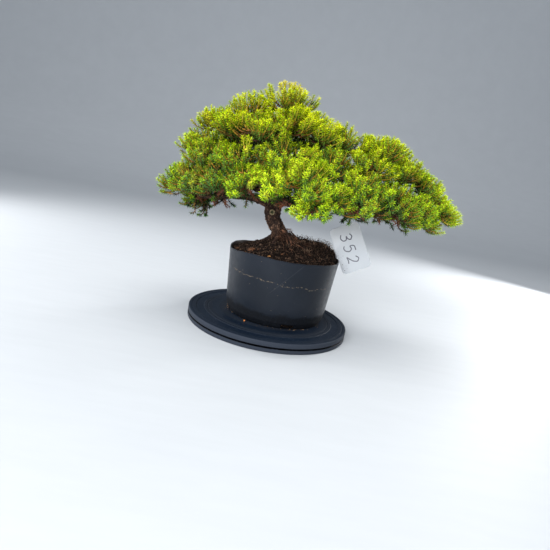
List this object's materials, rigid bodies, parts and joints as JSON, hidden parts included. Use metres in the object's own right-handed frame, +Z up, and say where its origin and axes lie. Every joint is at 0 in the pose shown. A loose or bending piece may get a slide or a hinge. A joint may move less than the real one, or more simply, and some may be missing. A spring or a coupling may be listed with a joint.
{
  "type": "juniper bonsai",
  "caption": "Small one-sided juniper bonsai with a curved trunk and a dense needled crown, in a cut-down nursery pot with a plant label, turning on a low display turntable.",
  "frame": {"origin": "centre of the turntable's flat underside, on the surface that it stands on", "axes": "+X along the crown towards its long side, +Z up, -Y towards the front of the tree"},
  "size_m": [0.3548, 0.2072, 0.2881],
  "materials": {
    "disc": "satin",
    "steel": "satin",
    "pot": "satin",
    "soil": "matte",
    "bark": "matte",
    "label": "satin",
    "needles": "satin"
  },
  "bodies": {
    "base": {"turntable_base": "disc", "bearing_ring": "steel"},
    "top": {"turntable_top": "disc", "pot": "pot", "soil": "soil", "trunk_and_branches": "bark", "plant_label": "label", "spray_apex": "needles", "spray_apex_right": "needles", "spray_crown_left": "needles", "spray_crown_front": "needles", "spray_shoulder_left": "needles", "spray_side_left": "needles", "spray_left_tip": "needles", "spray_left_hanging": "needles", "spray_shoulder_right": "needles", "spray_right_crown": "needles", "spray_right_upper": "needles", "spray_right_mid": "needles", "spray_right_tip": "needles", "spray_right_low": "needles", "spray_brow_top": "needles", "spray_brow_left": "needles", "spray_brow_right": "needles", "spray_brow_low": "needles", "spray_front_left_upper": "needles", "spray_front_left": "needles", "spray_front_left_low": "needles", "spray_front_mid": "needles", "spray_front_right_upper": "needles", "spray_front_right": "needles", "spray_front_right_far": "needles", "spray_front_right_low": "needles", "spray_far_right_low": "needles", "spray_far_left": "needles", "spray_far_left_upper": "needles", "spray_inner_crown": "needles", "spray_apex_front": "needles", "spray_inner_left": "needles", "spray_inner_front": "needles", "spray_right_saddle": "needles", "spray_right_edge": "needles", "spray_back_crown": "needles", "spray_back_left_upper": "needles", "spray_back_left": "needles", "spray_back_left_low": "needles", "spray_back_mid": "needles", "spray_back_right_upper": "needles", "spray_back_right_low": "needles", "spray_back_right": "needles", "spray_back_far_right": "needles", "spray_back_far_low": "needles", "spray_back_right_tip": "needles"}
  },
  "joints": [
    {"name": "turntable_spin", "type": "hinge", "parent": "base", "child": "top", "pos_m": [0, 0, 0.006], "axis": [0, 0, 1], "continuous": true}
  ]
}
